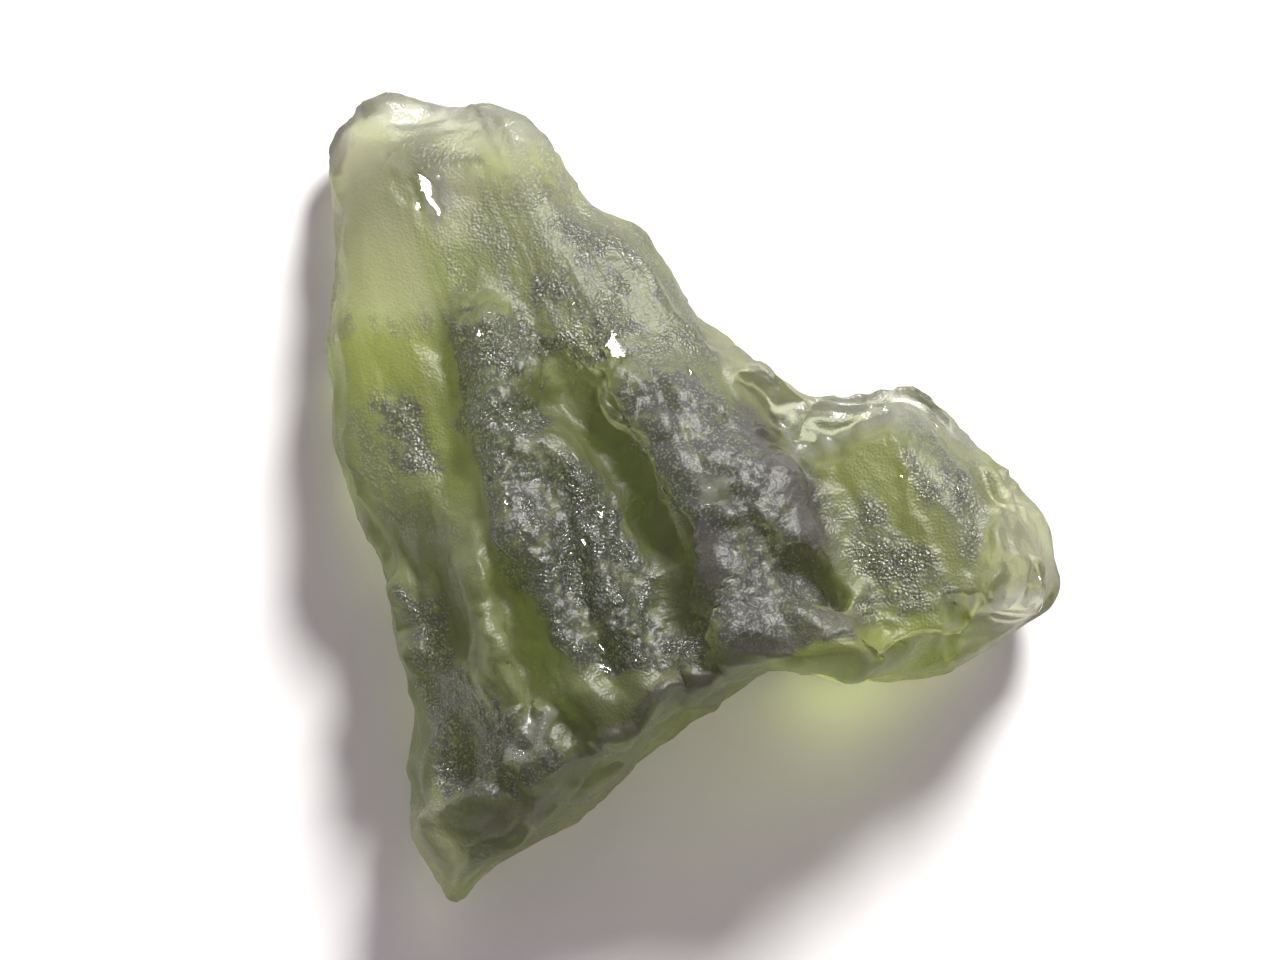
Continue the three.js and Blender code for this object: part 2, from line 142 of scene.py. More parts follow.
# Each ledge: its line, how far the side on the left of the line stands up, how soft the edge is,
# and how far it reaches.
LEDGES = {
    "west edge of the plate": (
        [(-1.97, 2.99), (-1.44, 2.07), (-0.95, 1.27), (-0.64, 0.52), (-0.16, -0.23), (-0.02, -1.12),
         (0.11, -2.18), (0.64, -3.15)], 0.42, 0.12, 0.8),
    "step inside the plate": (
        [(-0.38, -0.19), (0.07, -0.52), (0.69, -0.47), (1.09, -0.17), (1.53, -0.5), (1.84, -1.12)],
        0.3, 0.1, 0.6),
    "east edge of the plate": (
        [(3.65, -2.66), (3.17, -2.22), (2.77, -1.38), (2.64, -0.19), (2.33, 0.61), (1.75, 1.31),
         (1.22, 2.15), (0.51, 2.68)], 0.1, 0.25, 0.5),
    "south edge of the top rim": (
        [(-3.21, 7.28), (-4.27, 7.23), (-5.34, 7.5), (-6.22, 7.67), (-7.11, 7.67), (-8.04, 7.63)],
        0.12, 0.1, 0.6),
    "west edge of the band": (
        [(-5.43, 3.7), (-5.12, 2.33), (-4.85, 1.14), (-4.54, -0.06), (-4.14, -1.29), (-3.43, -2.35),
         (-2.81, -3.41)], 0.26, 0.12, 0.6),
    "east edge of the band": (
        [(0.16, -3.37), (-0.73, -2.26), (-1.26, -0.94), (-1.93, 0.34), (-2.95, 1.27), (-3.65, 2.33),
         (-3.83, 3.26)], 0.12, 0.2, 0.6),
    "north rim of the bowl": (
        [(-7.82, 1.0), (-7.24, 0.25), (-6.49, -0.01), (-5.83, 0.12), (-5.52, 0.61)],
        0.24, 0.1, 0.5),
    "east rim of the bowl": (
        [(-5.78, -0.06), (-5.47, -0.94), (-5.12, -1.82), (-4.76, -2.71), (-4.59, -3.59)],
        0.16, 0.16, 0.45),
    "edge of the smooth facet": (
        [(0.16, 3.7), (0.82, 3.21), (1.48, 2.64), (2.37, 2.15)], -0.1, 0.08, 0.4),
    "notch in the slab": ([(-6.6, 7.2), (-6.35, 6.5), (-6.1, 6.2)], -0.16, 0.08, 0.4),
}

# Each fold: its line, how high it stands (or how deep it lies), and how wide it is.
FOLDS = {
    "hole in the plate": ([(2.3, -1.2), (2.7, -1.65), (2.95, -2.05)], -0.75, 0.3),
    "lump at the tip": ([(-5.9, -7.1), (-5.55, -7.7), (-5.35, -8.2)], 0.35, 0.3),
    "inner edge of the end": (
        [(6.75, 0.5), (6.82, 0.14), (6.66, -0.78), (7.08, -1.62), (7.15, -1.95)], 0.2, 0.12),
    "outer ridge of the end": ([(7.24, -0.94), (7.57, -1.53), (7.5, -1.95)], 0.2, 0.12),
    "rib": (
        [(-4.98, -0.5), (-4.63, -1.38), (-4.5, -2.48), (-4.27, -3.59), (-3.83, -4.47)], 0.2, 0.2),
    "hook": ([(-3.43, -4.43), (-3.26, -4.96), (-3.48, -5.4), (-3.96, -5.58)], 0.24, 0.11),
    "long crease of the flank": (
        [(-7.55, 4.36), (-7.02, 3.21), (-6.45, 2.15), (-5.78, 1.14), (-5.34, -0.06)], -0.08, 0.2),
    "east crease of the flank": (
        [(-6.22, 3.88), (-5.69, 2.77), (-5.25, 1.49), (-4.94, 0.39)], -0.05, 0.2),
    "west crease of the flank": ([(-7.82, 3.04), (-7.46, 1.93), (-7.02, 1.14)], -0.06, 0.2),
    "crest": (
        [(-5.43, -6.73), (-4.36, -6.46), (-3.21, -5.97), (-2.06, -5.4), (-1.13, -4.74),
         (-0.02, -3.85), (1.09, -3.41), (2.37, -3.06), (3.52, -2.66), (4.63, -2.35), (5.74, -2.2),
         (6.89, -2.22)], 0.05, 0.13),
    "upper lip": ([(1.13, 2.77), (1.79, 2.55), (2.37, 2.46), (3.21, 2.42)], 0.12, 0.1),
    "middle lip": (
        [(1.4, 2.07), (1.97, 2.29), (2.81, 2.2), (3.74, 2.37), (4.7, 2.51), (5.47, 2.33)],
        0.2, 0.09),
    "lower lip": (
        [(1.48, 1.71), (2.15, 1.36), (2.64, 1.71), (3.39, 1.98), (4.23, 2.11)], 0.18, 0.1),
    "west ridge of the end": ([(6.5, 0.6), (6.62, -0.06), (6.58, -1.38), (6.45, -2.26)], 0.12, 0.1),
    "middle ridge of the end": (
        [(6.8, 0.78), (7.07, -0.28), (7.07, -1.29), (6.89, -2.26)], 0.16, 0.1),
    "east ridge of the end": (
        [(7.15, 0.43), (7.51, -0.5), (7.55, -1.38), (7.38, -2.18)], 0.14, 0.09),
    "west crease of the lobe": (
        [(2.99, 1.09), (3.48, -0.06), (3.88, -1.38), (4.23, -2.26)], -0.14, 0.18),
    "middle crease of the lobe": (
        [(4.14, 1.98), (4.5, 0.83), (4.98, -0.5), (5.25, -1.73)], 0.12, 0.16),
    "east crease of the lobe": (
        [(5.25, 2.15), (5.69, 1.05), (6.09, -0.28), (6.18, -1.51)], -0.14, 0.16),
    "seam of the lower wall": (
        [(-4.94, -7.79), (-3.83, -7.17), (-2.68, -6.59), (-1.79, -5.8)], -0.1, 0.12),
}

# Each patch of a finish, painted light and painted shade alike: its outline and how softly it ends.
MATT = {
    "plate": (
        [(-1.79, 2.77), (-0.64, 2.9), (0.6, 2.55), (1.17, 2.11), (1.75, 1.27), (2.37, 0.56),
         (2.64, -0.32), (2.72, -1.38), (3.21, -2.31), (3.39, -2.93), (1.93, -3.15), (0.6, -3.32),
         (0.11, -2.26), (-0.07, -1.12), (-0.55, -0.23), (-1.0, 0.92), (-1.57, 1.98)], 0.2),
}
PITTED = {
    "band": (
        [(-5.47, 3.88), (-4.27, 4.14), (-2.95, 3.66), (-3.65, 2.33), (-2.95, 1.14), (-1.88, 0.25),
         (-1.31, -0.94), (-0.82, -2.26), (0.16, -3.37), (-1.17, -3.68), (-2.5, -3.68),
         (-3.39, -2.35), (-4.14, -1.29), (-4.54, -0.06), (-4.94, 1.27)], 0.25),
    "flank by the tip": (
        [(-6.4, -2.09), (-5.6, -2.04), (-5.34, -3.37), (-4.54, -4.25), (-3.21, -4.96),
         (-2.81, -5.71), (-4.27, -6.5), (-5.47, -6.46), (-5.83, -4.47)], 0.25),
    "patch on the flank": ([(-6.9, 2.3), (-6.4, 2.3), (-5.7, 0.9), (-6.5, 0.8)], 0.45),
}
THINLY_PITTED = {
    "above the band": (
        [(-5.2, 5.6), (-2.6, 5.3), (-0.4, 3.8), (-1.6, 2.9), (-3.0, 3.0), (-5.5, 3.4)], 0.5),
    "upper face": (
        [(-3.4, 6.8), (-1.2, 5.8), (0.3, 4.2), (1.0, 3.0), (-0.6, 3.6), (-2.6, 5.3)], 0.4),
    "lobe": (
        [(3.39, -0.06), (3.92, 0.3), (4.7, -0.72), (5.69, -1.82), (6.3, -2.2), (3.7, -2.62)], 0.3),
    "east of the lobe": (
        [(4.3, 2.3), (6.0, 1.5), (6.2, -1.0), (5.9, -1.3), (5.2, 0.0), (4.5, 1.1)], 0.3),
    "foot of the channel": ([(-0.7, -1.8), (0.2, -2.2), (0.4, -3.4), (-1.2, -3.6)], 0.3),
}
FILMED = {
    "foot of the slab": (
        [(-8.0, 4.4), (-6.4, 4.3), (-5.3, 4.6), (-5.1, 3.9), (-6.3, 3.6), (-8.0, 3.5)], 0.25),
    "tip": ([(-6.4, -6.6), (-4.0, -6.6), (-4.4, -7.9), (-5.3, -9.2), (-6.2, -8.4)], 0.4),
    "upper face": (
        [(-4.94, 7.23), (-2.95, 7.23), (-1.17, 6.13), (0.16, 4.36), (0.82, 2.6), (-1.17, 2.77),
         (-2.95, 3.66), (-4.72, 4.36), (-5.38, 5.69)], 0.5),
    "top rim": (
        [(-8.2, 8.5), (-7.02, 9.2), (-5.16, 9.1), (-3.6, 8.7), (-2.7, 7.67), (-2.1, 6.48),
         (-2.95, 6.66), (-3.83, 7.2), (-5.6, 7.4), (-8.0, 7.5)], 0.3),
    "lobe": (
        [(3.39, -0.06), (3.92, 0.3), (4.7, -0.72), (5.69, -1.82), (6.3, -2.2), (3.7, -2.62)], 0.3),
    "east of the lobe": (
        [(4.3, 2.3), (6.2, 1.7), (6.5, -1.0), (5.9, -1.3), (5.2, 0.0), (4.5, 1.1)], 0.3),
    "west of the lobe": (
        [(2.3, 1.2), (2.9, 1.1), (3.1, 0.0), (3.4, -1.2), (3.0, -1.6), (2.6, -0.4)], 0.2),
}
THINLY_FILMED = {
    "west edge of the slab": (
        [(-8.4, 7.0), (-7.5, 7.0), (-7.2, 4.5), (-7.0, 3.4), (-8.4, 3.4)], 0.3),
    "east of the slab": ([(-5.9, 7.0), (-5.0, 7.0), (-4.8, 4.6), (-5.2, 4.0), (-5.8, 5.6)], 0.4),
    "flank": (
        [(-8.1, 2.0), (-7.3, 2.0), (-6.5, 0.6), (-5.6, 0.2), (-5.0, -1.0), (-6.0, -1.0),
         (-7.4, 0.0)], 0.4),
}
# Painted shade: darker olive painted where shade falls, in the channel, bowl, scoop, step, hole and
# lower wall, along the crest and on the west edge turned from the lamp; on the upper face it dims
# the lamp's sheen.
DEEP_SHADE = {
    "upper face": (
        [(-2.6, 6.6), (-1.2, 5.9), (0.3, 4.3), (0.7, 3.2), (-0.6, 3.6), (-2.2, 5.2)], 0.5),
    "west edge": (
        [(-8.4, 4.6), (-7.75, 4.6), (-7.6, 1.5), (-6.9, -0.8), (-7.4, -1.0), (-8.3, 1.2)], 0.25),
    "channel": (
        [(-4.1, 2.9), (-3.03, 2.68), (-2.02, 2.42), (-1.13, 1.53), (-0.55, 0.21), (-0.02, -0.94),
         (0.16, -2.26), (0.24, -3.24), (-0.47, -3.28), (-0.95, -2.13), (-1.35, -0.81),
         (-2.02, 0.34), (-2.95, 1.27), (-3.65, 2.11)], 0.25),
    "bowl": (
        [(-7.24, -0.06), (-5.87, -0.1), (-5.38, -0.94), (-4.9, -2.26), (-4.63, -3.68),
         (-5.21, -3.5), (-5.83, -2.35), (-6.53, -1.38)], 0.2),
    "scoop": ([(-3.21, -4.25), (-1.62, -4.21), (-1.13, -4.83), (-2.24, -5.62), (-3.12, -5.0)], 0.2),
    "step": ([(-0.29, -0.32), (0.6, -0.45), (0.69, -1.38), (0.51, -2.4), (-0.02, -2.09)], 0.12),
    "hole": ([(2.06, -0.94), (2.64, -1.03), (3.12, -1.82), (3.17, -2.31), (2.5, -2.09)], 0.1),
    "crest": (
        [(-5.6, -6.02), (-4.27, -6.15), (-2.95, -5.44), (-1.62, -4.47), (-0.07, -3.37),
         (1.48, -2.93), (1.57, -3.59), (0.16, -4.25), (-1.17, -5.13), (-2.5, -6.24), (-4.27, -7.12),
         (-5.47, -7.26)], 0.3),
    "lower wall": (
        [(-5.25, -7.48), (-3.83, -7.17), (-2.28, -6.46), (-2.95, -7.34), (-4.27, -8.23),
         (-5.12, -8.71)], 0.3),
    "flank of the tip": (
        [(-6.58, -2.04), (-6.18, -2.26), (-5.83, -4.03), (-5.69, -6.02), (-6.05, -6.68),
         (-6.31, -5.36), (-6.4, -3.59)], 0.25),
}
# Painted light: paler glass painted where lamp light shines through thin glass, on the slab, the
# lower edge and the end of the lobe; on the tip and the smooth facet the paler tone is partly the
# glass's own.
PALE_LIT = {
    "tip": (
        [(-6.4, -6.81), (-5.6, -6.77), (-4.98, -7.56), (-5.12, -8.54), (-5.6, -8.6), (-6.3, -7.7)],
        0.2),
    "lower edge": ([(2.5, -3.0), (7.3, -2.5), (7.6, -3.4), (5.25, -4.6), (2.5, -4.4)], 0.3),
    "slab": (
        [(-8.1, 8.2), (-6.2, 7.9), (-6.2, 6.22), (-5.2, 4.63), (-5.7, 3.88), (-6.93, 3.88),
         (-7.69, 4.36), (-8.04, 6.48)], 0.3),
    "east of the slab": (
        [(-5.69, 7.45), (-4.67, 7.28), (-4.94, 5.86), (-5.6, 5.64), (-5.96, 6.44)], 0.2),
    "end of the lobe": (
        [(6.71, 0.61), (7.55, 0.17), (8.13, -1.6), (7.77, -2.53), (6.8, -2.71), (6.58, -1.38)],
        0.2),
    "smooth facet": (
        [(0.16, 3.88), (1.13, 3.26), (2.37, 2.51), (2.37, 1.93), (1.57, 2.02), (0.78, 2.82)], 0.15),
}
WINDOWS = {
    "beside the slab": ([(-5.25, 5.97), (-4.27, 5.8), (-4.2, 4.8), (-4.9, 4.6), (-5.3, 5.2)], 0.3),
    "in the slab": ([(-6.75, 7.6), (-6.2, 7.5), (-6.0, 6.6), (-6.5, 6.4), (-6.8, 6.9)], 0.25),
    "foot of the slab": ([(-5.9, 5.4), (-5.5, 5.3), (-5.2, 4.4), (-5.7, 4.2)], 0.25),
    "lobe": ([(5.1, -0.2), (5.8, -0.5), (6.1, -1.3), (5.6, -1.4), (5.2, -0.9)], 0.25),
    "foot of the lobe": ([(5.7, -1.7), (6.3, -1.8), (6.4, -2.4), (5.8, -2.4)], 0.2),
}
# Painted light: white painted on the lips, chips, hook, ridge and lower corner for their glints and
# the light inside them; on the top rim the white is partly the frosting's own.
WHITE_AND_GLINT = {
    "top rim": (
        [(-7.6, 8.6), (-7.0, 9.1), (-4.9, 9.1), (-3.2, 8.2), (-3.9, 7.9), (-5.6, 8.1)], 0.7),
    "chip in the slab": ([(-6.25, 7.3), (-5.6, 7.4), (-5.4, 6.6), (-5.7, 6.2), (-6.15, 6.7)], 0.1),
    "lips": (
        [(1.62, 2.11), (2.37, 2.33), (3.39, 2.37), (4.59, 2.51), (5.43, 2.24), (5.25, 1.89),
         (4.14, 1.93), (3.39, 1.62), (2.81, 1.14), (2.28, 1.0), (1.93, 1.49)], 0.12),
    "tongue by the lips": ([(1.2, 3.2), (1.5, 3.1), (2.5, 2.1), (2.4, 1.7), (1.9, 1.9)], 0.12),
    "ridge by the lips": ([(4.6, 2.8), (5.2, 2.8), (5.8, 1.6), (5.4, 1.4), (5.0, 2.2)], 0.15),
    "chip in the plate": (
        [(0.07, 0.65), (0.69, 0.61), (0.78, 0.17), (0.55, -0.36), (0.16, -0.06)], 0.08),
    "hook": (
        [(-3.61, -4.47), (-3.12, -4.56), (-3.21, -5.36), (-3.83, -5.71), (-4.01, -5.49),
         (-3.52, -5.13)], 0.06),
    "lower corner": ([(6.2, -2.2), (7.69, -1.9), (8.2, -2.53), (7.2, -3.4), (5.91, -3.6)], 0.2),
}
FLAT = {
    "slab": (
        [(-8.4, 8.6), (-5.0, 8.4), (-4.6, 5.6), (-5.34, 4.3), (-5.6, 3.4), (-7.9, 3.2),
         (-8.4, 6.48)], 0.4),
    "upper face": (
        [(-5.0, 7.6), (-2.95, 7.4), (-1.0, 6.13), (0.5, 4.5), (1.1, 2.6), (-1.17, 2.9),
         (-2.95, 3.9), (-4.6, 4.5), (-5.1, 5.69)], 0.5),
    "flank": (
        [(-8.2, 3.6), (-6.27, 3.92), (-5.3, 2.6), (-4.5, 0.61), (-4.4, -1.0), (-5.6, -1.4),
         (-7.3, -0.2), (-8.0, 1.5)], 0.3),
    "tip": ([(-6.3, -6.9), (-4.4, -6.9), (-4.0, -7.6), (-5.0, -9.2), (-6.2, -8.8)], 0.3),
    "lobe": (
        [(2.64, 1.05), (3.48, 1.98), (5.2, 1.9), (6.2, 0.6), (6.5, -1.4), (6.0, -2.1), (3.8, -2.5),
         (3.1, -0.9)], 0.25),
}
GOLDEN = {
    "swath of the lobe": (
        [(2.64, 1.05), (3.48, 1.98), (4.14, 2.07), (4.5, 1.05), (5.25, -0.06), (5.91, -1.38),
         (5.69, -1.82), (4.7, -0.72), (3.92, 0.39), (3.26, -0.06), (2.9, -0.06)], 0.25),
    "swath of the flank": (
        [(-7.69, 3.7), (-6.27, 3.92), (-5.47, 2.6), (-4.72, 0.61), (-4.94, -0.06), (-5.83, 0.83),
         (-6.58, 2.15), (-7.55, 2.15)], 0.6),
    "lower band": (
        [(1.5, -3.4), (3.7, -2.75), (5.91, -2.31), (6.9, -2.5), (6.6, -3.2), (5.25, -4.1),
         (3.03, -4.2), (1.5, -3.9)], 0.2),
}
# Painted shade: dark lines painted along the outline, the crest, the step, the wall by the tip and
# the edges of the plate, where shade falls.
EDGE_SHADE = {
    "top corner": (
        [(-8.5, 7.4), (-8.4, 8.5), (-7.7, 9.1), (-7.2, 8.75), (-7.65, 8.2), (-7.8, 7.35)], 0.1),
    "end of the lobe": (
        [(7.7, 0.35), (8.3, 0.1), (8.4, -0.94), (8.4, -2.2), (7.95, -1.5), (7.85, -0.5)], 0.06),
    "left edge": ([(-8.22, 4.36), (-7.69, 4.23), (-7.69, 3.57), (-8.17, 3.57)], 0.15),
    "crest": (
        [(-2.95, -5.8), (-1.62, -4.83), (-0.29, -3.59), (1.13, -3.01), (2.37, -2.66), (3.7, -2.26),
         (3.79, -2.66), (2.37, -3.15), (1.13, -3.5), (0.07, -3.94), (-1.17, -4.83), (-2.5, -5.89)],
        0.12),
    "step": (
        [(-0.38, -0.28), (0.16, -0.59), (0.69, -0.94), (0.51, -2.26), (0.16, -3.15),
         (-0.07, -2.26)], 0.1),
    "wall by the tip": (
        [(-5.16, -6.95), (-3.83, -6.5), (-2.81, -6.46), (-3.39, -7.12), (-4.72, -7.7)], 0.2),
    "east of the plate": (
        [(1.04, 2.33), (2.37, 0.92), (2.81, -0.5), (3.26, -2.26), (3.92, -2.53), (3.03, -2.84),
         (2.37, -1.38), (1.93, 0.39), (1.09, 1.49)], 0.15),
}

# Each turned face: its outline, the falls towards east and north that it is given, and how soft its
# edge is.
TURNED = {
    "lobe": (
        [(2.9, -0.3), (3.2, 1.2), (3.9, 1.6), (5.0, 1.5), (5.9, 0.5), (6.8, -1.2), (7.2, -2.6),
         (6.0, -3.2), (3.9, -3.2), (3.1, -0.9)], (0.03, -0.12), 0.45),
}

# Each stepped face: its outline and how soft its edge is. The treads fall like the chips.
STEPPED = {
    "lips": (
        [(1.3, 2.6), (2.37, 2.6), (3.39, 2.6), (4.59, 2.8), (5.6, 2.3), (5.35, 1.85), (4.14, 1.85),
         (3.39, 1.5), (2.81, 1.0), (2.28, 0.9), (1.8, 1.4)], 0.15),
    "lower corner": ([(5.7, -2.3), (7.69, -2.04), (7.95, -2.53), (7.1, -3.3), (5.8, -3.5)], 0.15),
}

# Where the glass is smoothed last, besides the stepped faces.
SOOTHED = {
    "end of the lobe": (
        [(6.3, 1.3), (7.6, 0.9), (8.4, -1.6), (8.2, -2.6), (6.8, -2.71), (6.58, -1.38), (6.3, 0.2)],
        0.2),
}

# Each chip: where it is, and its radius. All fall the same way, like the facets of one blow.
CHIPS = (
    (-1.77, 3.41, 0.24), (-4.1, 0.01, 0.15), (-5.91, 7.0, 0.26), (-5.66, 6.53, 0.17),
    (-6.05, 6.6, 0.12), (-2.02, -3.15, 0.11), (-1.9, -3.61, 0.13), (-0.69, 0.25, 0.11),
    (-2.04, -0.23, 0.13), (-2.41, -0.85, 0.11), (-4.94, -5.4, 0.1), (-5.6, -2.44, 0.13),
    (-5.12, 2.66, 0.12), (-4.72, 3.79, 0.12), (-2.68, 4.45, 0.1), (-0.07, 2.9, 0.11),
    (4.54, 0.61, 0.09), (7.6, -1.51, 0.12),
)

FINISH_AND_LIGHT_TABLES = {
    "matt": MATT,
    "pitted": PITTED,
    "thinly pitted": THINLY_PITTED,
    "film": FILMED,
    "thin film": THINLY_FILMED,
    "deep": DEEP_SHADE,
    "pale_lit": PALE_LIT,
    "white": WHITE_AND_GLINT,
    "edge_shade": EDGE_SHADE,
    "flat": FLAT,
    "golden": GOLDEN,
    "windows": WINDOWS,
}


def nearest_on(path, spots):
    """Three values for each spot, from the stretch of the line that is nearest.

    They are how far away it is, how far to its left the spot lies, and how far past its ends.
    """
    best = np.full(len(spots), np.inf)
    side = np.zeros(len(spots))
    past = np.zeros(len(spots))
    for a, b in zip(np.array(path[:-1]), np.array(path[1:])):
        run = b - a
        length = np.hypot(*run)
        along = (spots - a) @ run / length
        kept = np.clip(along, 0, length)
        away = np.hypot(*(spots - a - np.outer(kept / length, run)).T)
        left = ((spots - a) @ np.array([-run[1], run[0]])) / length
        closer = away < best
        best = np.where(closer, away, best)
        side = np.where(closer, left, side)
        past = np.where(closer, np.abs(along - kept), past)
    return best, side, past


def inside(outline, spots):
    """How deep each spot lies inside a closed outline: below zero outside it."""
    closed = list(outline) + [outline[0]]
    away = nearest_on(closed, spots)[0]
    within = np.zeros(len(spots), bool)
    for (ax, ay), (bx, by) in zip(closed[:-1], closed[1:]):
        if ay == by:
            continue
        crosses = (ay > spots[:, 1]) != (by > spots[:, 1])
        at = ax + (spots[:, 1] - ay) * (bx - ax) / (by - ay)
        within ^= crosses & (spots[:, 0] < at)
    return np.where(within, away, -away)


def ease(low, high, value):
    """0 up to low, 1 from high on, and a soft curve between them."""
    share = np.clip((value - low) / (high - low), 0, 1)
    return share * share * (3 - 2 * share)


def patches(table, spots):
    """1 inside any of the patches and 0 away from them."""
    cover = np.zeros(len(spots))
    for outline, soft in table.values():
        cover = np.maximum(cover, ease(-soft, soft, inside(outline, spots)))
    return cover


# ---------------------------------------------------------------- grain of the glass

# Each grain: how wide its lumps are, and its seed.
GRAINS = {
    "lumps": (1.1, 5),
    "crumbs": (0.17, 6),
    "thin places": (0.9, 7),
    "knobs": (0.4, 8),
    "wander east": (0.9, 11),
    "wander north": (0.9, 12),
    "shiver east": (0.3, 13),
    "shiver north": (0.3, 14),
    "drawn relief": (0.7, 15),
    "chip edges": (0.2, 21),
    "treads": (1.6, 22),
    "mottle": (0.8, 31),
    "fine mottle": (0.4, 32),
    "specks": (0.22, 33),
}

# Each kind of streak: how wide and how long it is, and its seed.
STREAKS = {
    "flutes": (0.42, 3.2, 1),
    "fine flutes": (0.2, 2.2, 2),
    "film": (0.28, 2.4, 34),
}

# The wide and the small cups: how wide they are, and their seed.
CUPS = ((0.55, 3), (0.27, 4))

# How far each seed shifts the noise.
NOISE_SHIFT = (7.31, 3.17, 5.77)
CUPS_SHIFT = (4.13, 9.71, 2.39)

# The flow lines run away from FLOW_FROM. FLOW_REACH turns their bearings into millimetres.
FLOW_FROM = np.array([-12.0, 24.0])
FLOW_REACH = 27.0


def even_noise(points, size, seed):
    """Noise from -1 to 1, with its lumps about size wide."""
    shift = Vector([seed * step for step in NOISE_SHIFT])
    return np.array([noise.noise(Vector(p) / size + shift) for p in points.tolist()])


def grain(points, name):
    """The noise of that name in GRAINS, from -1 to 1."""
    return even_noise(points, *GRAINS[name])


def streaks(points, name):
    """Noise from -1 to 1, drawn out along the flow lines."""
    across, along, seed = STREAKS[name]
    away = points[:, :2] - FLOW_FROM
    bearing = np.arctan2(away[:, 1], away[:, 0]) * FLOW_REACH
    flow = [bearing / across, np.hypot(*away.T) / along, points[:, 2] / along]
    return even_noise(np.column_stack(flow), 1, seed)


def cups(points, size, seed):
    """How far each point is from the middle of its own cup, from about -0.5 to 0.5."""
    shift = Vector([seed * step for step in CUPS_SHIFT])
    near = [noise.voronoi(Vector(p) / size + shift)[0][0] for p in points.tolist()]
    return np.array(near) - 0.5


# ---------------------------------------------------------------- the mesh

# Sharpening: its strength, its strength on the flat faces, its reach in rounds of smoothing, how
# much each round smooths, and the farthest that it moves a point.
SHARPEN = 1.1
CALM = -0.9
SHARPEN_ROUNDS = 8
SHARPEN_SMOOTHS = 0.5
SHARPEN_MOST = 0.3

# From which to which upward part of its normal a face counts as the top of the stone.
TOP_TO_SHARPEN = (0.1, 0.5)
TOP_TO_WORK = (0.05, 0.45)

# Cutting finer: points nearer than MERGED metres are one, and an edge is on top where the upward
# parts of its two normals add up to more than CUT_ON_TOP. FINER_CUTS holds the longest edges that
# each round leaves, on top and elsewhere, and CUT_SMOOTHS how much it smooths.
MERGED = 1e-7
CUT_ON_TOP = 0.4
FINER_CUTS = ((0.12, 0.23), (0.095, 0.23))
CUT_SMOOTHS = 0.4


def read(what, attribute):
    """One vector of each of the mesh's parts, as rows."""
    values = np.empty(len(what) * 3)
    what.foreach_get(attribute, values)
    return values.reshape(-1, 3)


def smooth(bm, verts, factor):
    bmesh.ops.smooth_vert(
        bm, verts=verts, factor=factor, use_axis_x=True, use_axis_y=True, use_axis_z=True
    )


def sharpen(bm):
    """Pushes ridges out and hollows in, so that forms meet in edges, and calms the flat faces."""
    soft = bm.copy()
    for _ in range(SHARPEN_ROUNDS):
        smooth(soft, soft.verts[:], SHARPEN_SMOOTHS)
    old = np.array([vert.co for vert in bm.verts])
    calm = np.array([vert.co for vert in soft.verts])
    normals = np.array([vert.normal for vert in bm.verts])
    soft.free()
    off = ((old - calm) * normals).sum(axis=1)
    up = ease(*TOP_TO_SHARPEN, normals[:, 2])
    share = up * (SHARPEN + (CALM - SHARPEN) * patches(FLAT, old[:, :2] / MM))
    move = np.clip(share * off, -SHARPEN_MOST * MM, SHARPEN_MOST * MM)
    for vert, co in zip(bm.verts, old + normals * move[:, None]):
        vert.co = co
    bm.normal_update()


def cut_long_edges(bm, top_length, other_length):
    """Halves the edges longer than top_length on top of the stone, or other_length elsewhere."""
    long = []
    for edge in bm.edges:
        on_top = edge.verts[0].normal.z + edge.verts[1].normal.z > CUT_ON_TOP
        if edge.calc_length() > (top_length if on_top else other_length):
            long.append(edge)
    bmesh.ops.subdivide_edges(bm, edges=long, cuts=1, use_grid_fill=True)
    bmesh.ops.triangulate(bm, faces=[face for face in bm.faces if len(face.verts) > 3])
    smooth(bm, bm.verts[:], CUT_SMOOTHS)
    bm.normal_update()


def finer(source):
    """The solid's own form, merged and cut finer, most of all on top."""
    bm = bmesh.new()
    bm.from_mesh(source)
    bmesh.ops.remove_doubles(bm, verts=bm.verts, dist=MERGED)
    bm.normal_update()
    sharpen(bm)
    cut_long_edges(bm, 0, 0)
    for top_length, other_length in FINER_CUTS:
        cut_long_edges(bm, top_length * MM, other_length * MM)
    for face in bm.faces:
        face.smooth = True
    mesh = bpy.data.meshes.new("stone")
    bm.to_mesh(mesh)
    bm.free()
    return mesh


# ---------------------------------------------------------------- faces, chips and the tip

# How far the drawn lines wander and shiver from their places.
WANDER = 0.28
SHIVER = 0.12

# How much of the way each turned face is cut down to its plane.
TURNED_SHARE = 0.85

# The stepped faces: the share of their height by which they sink and how soft the rim of that is,
# how much they are stepped, how high each tread is, how far it waves, and between which shares of a
# tread its riser stands.
SUNK = 0.42
SUNK_SOFT = 0.3
STEPPED_SHARE = 0.6
TREAD = 0.35
TREAD_WAVE = 0.35
RISER = (0.3, 0.7)

# The smoothing at the end: from which cover on, how many rounds, and how much each one smooths.
SOOTHED_FROM = 0.2
SOOTHED_ROUNDS = 4
SOOTHED_SHARE = 0.5

# How much the chips and treads fall towards the east and the north, for each millimetre.
CHIP_SLOPE = (-0.18, -0.45)

# The chips: how ragged their edges are, the matrix that makes them oval and slanted, and the parts
# of the radius from which a chip starts and at which it is whole.
CHIP_RAGGED = 0.7
CHIP_OVAL = ((1.3, 0.4), (0.0, 0.8))
CHIP_EDGE = (1.3, 0.8)

# The tip is drawn towards TIP_EAST, from none of it at TIP_FROM north to TIP_SHARE at TIP_TO.
TIP_FROM, TIP_TO, TIP_EAST = -7.2, -8.8, -5.3
TIP_SHARE = 0.5


